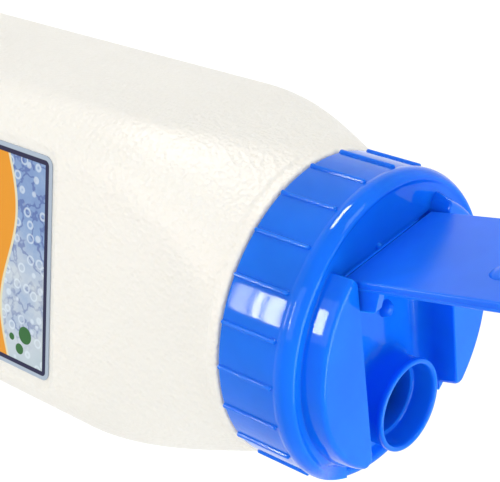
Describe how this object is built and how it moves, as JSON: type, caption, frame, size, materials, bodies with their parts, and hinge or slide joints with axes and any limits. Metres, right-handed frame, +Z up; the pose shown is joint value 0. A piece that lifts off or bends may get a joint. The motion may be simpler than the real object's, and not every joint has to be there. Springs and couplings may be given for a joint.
{
  "type": "plastic water bottle",
  "caption": "Milky plastic fridge water bottle with a rounded square body, recessed label, wide ribbed blue screw cap, pouring spout and a hinged flip flap shown open.",
  "frame": {"origin": "centre of the flat base, on the surface the bottle stands on", "axes": "+Z up along the bottle, label towards -Y, spout towards +X and hinge towards -X, both turned 15.3 degrees"},
  "size_m": [0.1036, 0.0944, 0.3166],
  "materials": {
    "milky_plastic": "translucent milky white with a fine leather grain",
    "label_film": "printed film, satin",
    "cap_plastic": "glossy moulded blue",
    "flap_plastic": "glossy moulded blue"
  },
  "bodies": {
    "bottle_body": {"bottle": "milky_plastic", "label": "label_film", "cap": "cap_plastic"},
    "flip_flap": {"flap": "flap_plastic"}
  },
  "joints": [
    {"name": "flap_hinge", "type": "hinge", "parent": "bottle_body", "child": "flip_flap", "pos_m": [-0.02359, -0.00645, 0.2509], "axis": [-0.2639, 0.9646, 0], "range_deg": [0, 101.3]}
  ]
}
